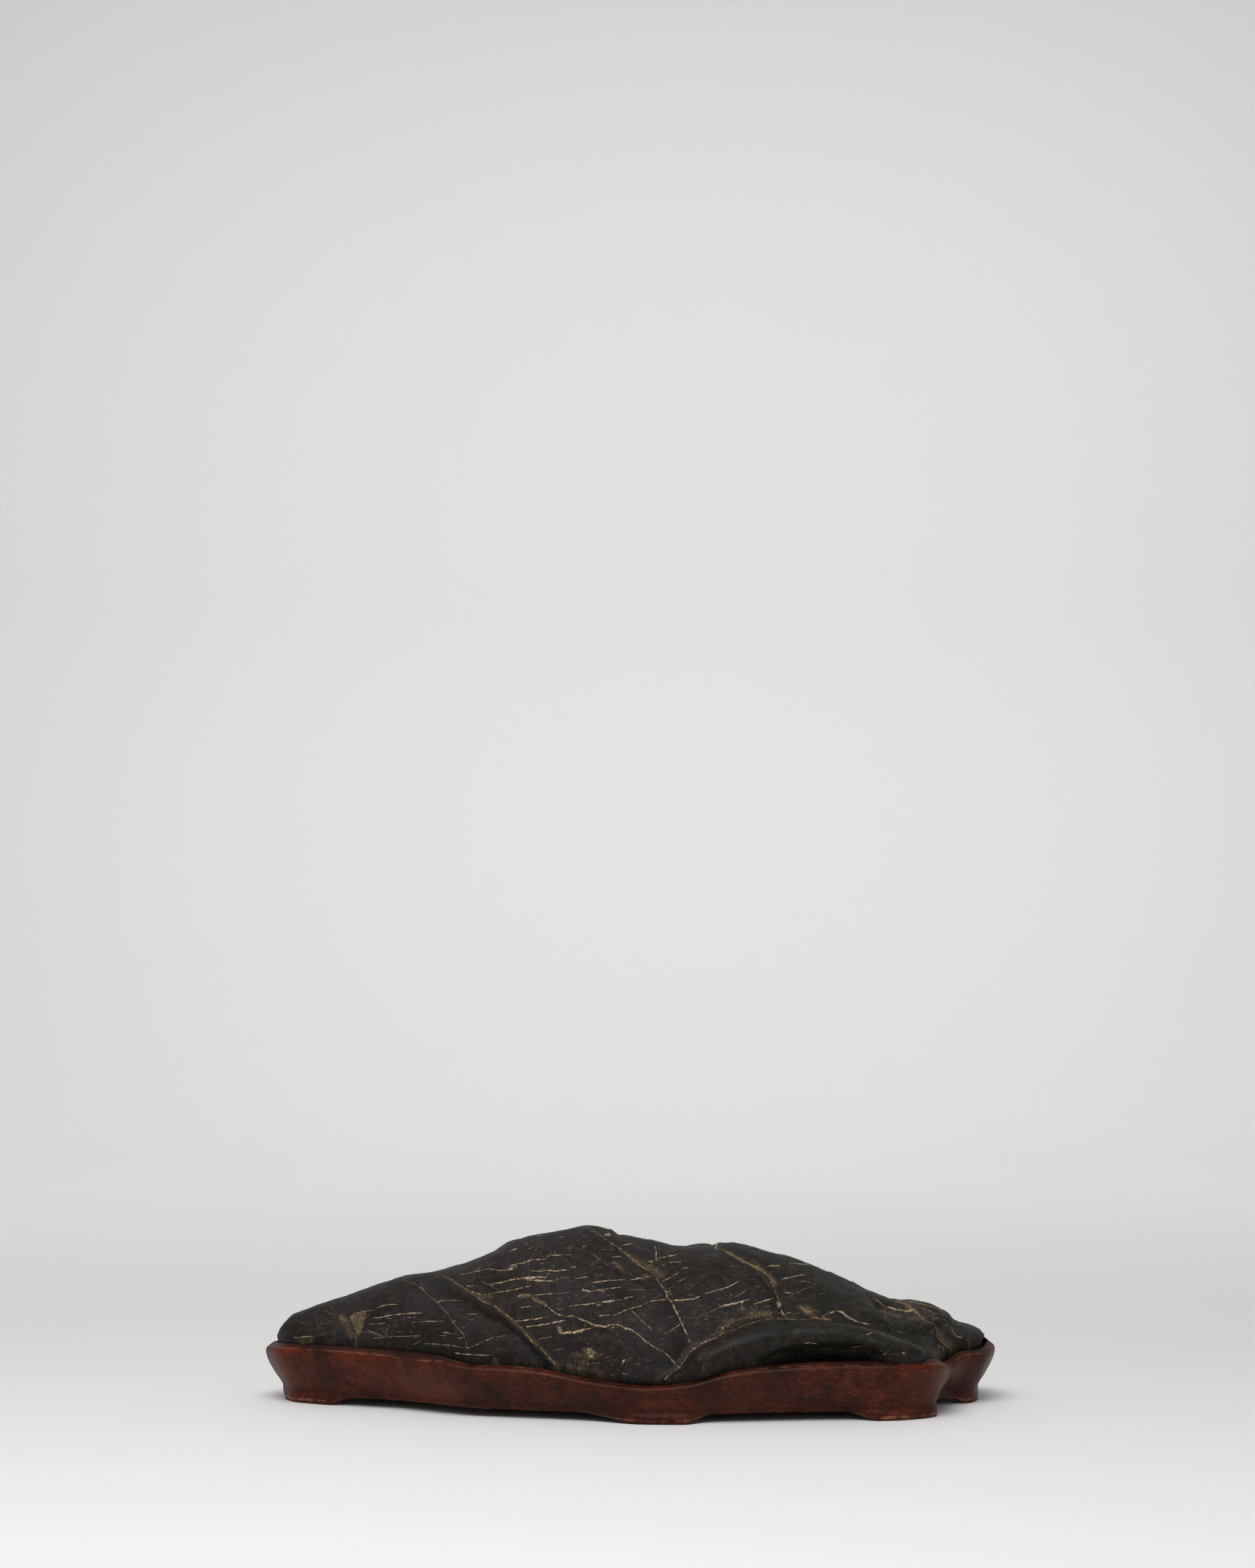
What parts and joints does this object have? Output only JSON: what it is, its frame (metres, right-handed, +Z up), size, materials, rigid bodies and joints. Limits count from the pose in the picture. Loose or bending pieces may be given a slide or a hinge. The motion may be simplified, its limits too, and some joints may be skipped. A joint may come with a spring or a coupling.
{
  "type": "scholar's rock on its stand",
  "caption": "Long, low mountain-shaped stone of veined black limestone, resting in a carved dark hardwood stand with lobed feet.",
  "frame": {"origin": "centre of the bounding box in plan, on the surface that the stand's feet stand on", "axes": "+X runs along the mountain, with its long low slope at -X and its short lobed end at +X; -Y is its front; +Z is up"},
  "size_m": [0.3806, 0.1376, 0.093],
  "materials": {
    "black_limestone": "water-worn, softly polished",
    "dark_hardwood": "dark stained, satin, worn lighter on the edges"
  },
  "bodies": {
    "root": {"stone": "black_limestone", "stand": "dark_hardwood"}
  },
  "joints": []
}
